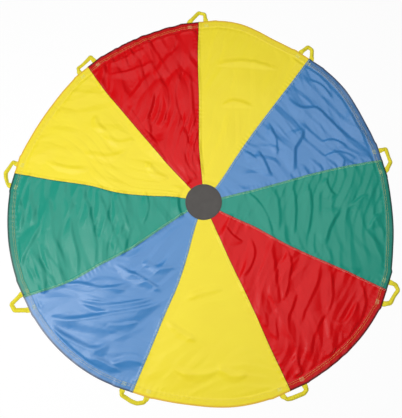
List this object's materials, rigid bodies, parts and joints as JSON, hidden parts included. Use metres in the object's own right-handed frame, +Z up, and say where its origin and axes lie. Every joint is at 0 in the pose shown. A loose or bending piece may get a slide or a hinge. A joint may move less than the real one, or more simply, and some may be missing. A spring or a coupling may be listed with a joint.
{
  "type": "play parachute",
  "caption": "Round play parachute of sewn nylon gores in yellow, blue, green and red, with a grey hub disc and webbing handles round the hem.",
  "frame": {"origin": "on the floor under the middle of the hub, which is the middle of the hub backing's underside", "axes": "+Z up, through the spread canopy; +Y toward the seam between the red and yellow gores at the top of the view from above; +X to the right in that view"},
  "size_m": [1.8802, 1.9179, 0.0121],
  "materials": {
    "nylon_yellow": "satin woven nylon taffeta",
    "nylon_red": "satin woven nylon taffeta",
    "nylon_blue": "satin woven nylon taffeta",
    "nylon_green": "satin woven nylon taffeta",
    "webbing": "matt woven polypropylene webbing",
    "hub_vinyl": "matt flexible vinyl sheet",
    "thread_cream": "twisted polyester sewing thread",
    "thread_grey": "twisted polyester sewing thread"
  },
  "bodies": {
    "canopy": {"gore_1_yellow": "nylon_yellow", "gore_2_blue": "nylon_blue", "gore_3_green": "nylon_green", "gore_4_red": "nylon_red", "gore_5_yellow": "nylon_yellow", "gore_6_blue": "nylon_blue", "gore_7_green": "nylon_green", "gore_8_yellow": "nylon_yellow", "gore_9_red": "nylon_red", "handle_1_left_end": "webbing", "handle_1_right_end": "webbing", "handle_1_tacks": "thread_cream", "handle_2_left_end": "webbing", "handle_2_right_end": "webbing", "handle_2_tacks": "thread_cream", "handle_3_left_end": "webbing", "handle_3_right_end": "webbing", "handle_3_tacks": "thread_cream", "handle_4_left_end": "webbing", "handle_4_right_end": "webbing", "handle_4_tacks": "thread_cream", "handle_5_left_end": "webbing", "handle_5_right_end": "webbing", "handle_5_tacks": "thread_cream", "handle_6_left_end": "webbing", "handle_6_right_end": "webbing", "handle_6_tacks": "thread_cream", "handle_7_left_end": "webbing", "handle_7_right_end": "webbing", "handle_7_tacks": "thread_cream", "handle_8_left_end": "webbing", "handle_8_right_end": "webbing", "handle_8_tacks": "thread_cream", "handle_9_left_end": "webbing", "handle_9_right_end": "webbing", "handle_9_tacks": "thread_cream", "hem_thread": "thread_cream", "hub_backing": "hub_vinyl", "hub_cap": "hub_vinyl", "hub_thread": "thread_grey", "seam_thread_1": "thread_cream", "seam_thread_2": "thread_cream", "seam_thread_3": "thread_cream", "seam_thread_4": "thread_cream", "seam_thread_5": "thread_cream", "seam_thread_6": "thread_cream", "seam_thread_7": "thread_cream", "seam_thread_8": "thread_cream", "seam_thread_9": "thread_cream"},
    "handle_1": {"handle_1": "webbing"},
    "handle_2": {"handle_2": "webbing"},
    "handle_3": {"handle_3": "webbing"},
    "handle_4": {"handle_4": "webbing"},
    "handle_5": {"handle_5": "webbing"},
    "handle_6": {"handle_6": "webbing"},
    "handle_7": {"handle_7": "webbing"},
    "handle_8": {"handle_8": "webbing"},
    "handle_9": {"handle_9": "webbing"}
  },
  "joints": [
    {"name": "handle_1_swing", "type": "hinge", "parent": "canopy", "child": "handle_1", "pos_m": [-0.02484, 0.93966, 0.0006], "axis": [0.9941, 0.1088, 0], "range_deg": [-120, 120]},
    {"name": "handle_2_swing", "type": "hinge", "parent": "canopy", "child": "handle_2", "pos_m": [0.53289, 0.73614, 0.0006], "axis": [0.8078, -0.5894, 0], "range_deg": [-120, 120]},
    {"name": "handle_3_swing", "type": "hinge", "parent": "canopy", "child": "handle_3", "pos_m": [0.86154, 0.20527, 0.0006], "axis": [0.24, -0.9708, 0], "range_deg": [-120, 120]},
    {"name": "handle_4_swing", "type": "hinge", "parent": "canopy", "child": "handle_4", "pos_m": [0.83678, -0.40786, 0.0006], "axis": [-0.3629, -0.9318, 0], "range_deg": [-120, 120]},
    {"name": "handle_5_swing", "type": "hinge", "parent": "canopy", "child": "handle_5", "pos_m": [0.38106, -0.84411, 0.0006], "axis": [-0.9201, -0.3918, 0], "range_deg": [-120, 120]},
    {"name": "handle_6_swing", "type": "hinge", "parent": "canopy", "child": "handle_6", "pos_m": [-0.31292, -0.85091, 0.0006], "axis": [-0.9549, 0.2968, 0], "range_deg": [-120, 120]},
    {"name": "handle_7_swing", "type": "hinge", "parent": "canopy", "child": "handle_7", "pos_m": [-0.81783, -0.44586, 0.0006], "axis": [-0.4692, 0.8831, 0], "range_deg": [-120, 120]},
    {"name": "handle_8_swing", "type": "hinge", "parent": "canopy", "child": "handle_8", "pos_m": [-0.90683, 0.14056, 0.0006], "axis": [0.2123, 0.9772, 0], "range_deg": [-120, 120]},
    {"name": "handle_9_swing", "type": "hinge", "parent": "canopy", "child": "handle_9", "pos_m": [-0.5807, 0.69189, 0.0006], "axis": [0.7422, 0.6702, 0], "range_deg": [-120, 120]}
  ]
}
